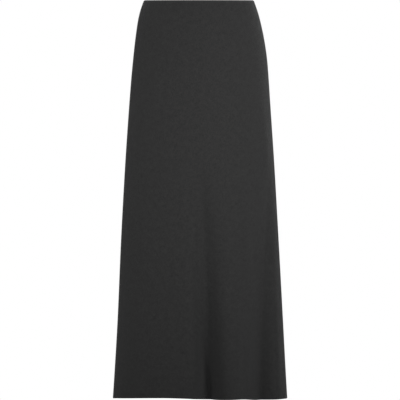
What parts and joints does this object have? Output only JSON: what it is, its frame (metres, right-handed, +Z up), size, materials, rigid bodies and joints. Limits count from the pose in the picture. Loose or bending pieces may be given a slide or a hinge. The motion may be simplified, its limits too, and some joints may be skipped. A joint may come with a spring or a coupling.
{
  "type": "knit midi skirt",
  "caption": "Pull-on knit midi skirt hanging as if worn: smooth waist turned over elastic, gentle A-line with soft flutes, turned-up hem, open at waist and hem.",
  "frame": {"origin": "centre of the waist opening, level with the waist edge at the side seams, where a wearer's waist holds the skirt", "axes": "+Z up along the hanging skirt, front faces -Y, +X to the right as seen from the front"},
  "size_m": [0.3933, 0.2973, 0.9025],
  "materials": {
    "knit_cloth": "matte fine-gauge jersey knit, charcoal with a faint heather",
    "elastic": "black woven elastic band"
  },
  "bodies": {
    "root": {"front_panel": "knit_cloth", "back_panel": "knit_cloth", "waist_elastic": "elastic"}
  },
  "joints": []
}
